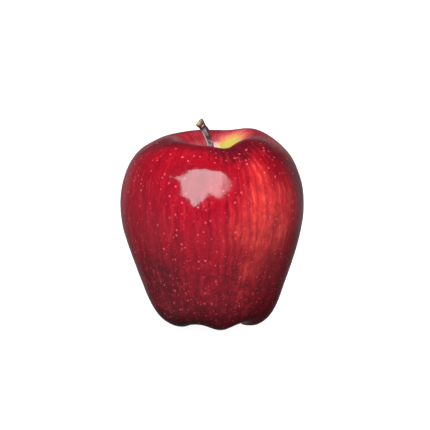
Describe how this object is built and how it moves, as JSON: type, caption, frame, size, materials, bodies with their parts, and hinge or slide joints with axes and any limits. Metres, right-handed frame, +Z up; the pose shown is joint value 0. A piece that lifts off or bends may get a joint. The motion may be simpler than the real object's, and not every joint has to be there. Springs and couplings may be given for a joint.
{
  "type": "red apple",
  "caption": "Tall red dessert apple with a lobed crown, a woody stem leaning from its cavity and a dried calyx underneath. Stands by itself on a table, plate or shelf.",
  "frame": {"origin": "on the surface that the fruit stands on, under the middle of its outline", "axes": "+Z up through the core towards the stem, -Y the front, +X to the right seen from the front"},
  "size_m": [0.076, 0.0755, 0.0862],
  "materials": {
    "skin": "waxy red skin with darker streaks, pale dots and a yellow-green patch in the stem cavity",
    "stem": "dry dark brown bark with grey patches and a tan broken end",
    "calyx": "withered, matt brown and grey-green"
  },
  "bodies": {
    "root": {"fruit": "skin", "stem": "stem", "calyx": "calyx"}
  },
  "joints": []
}
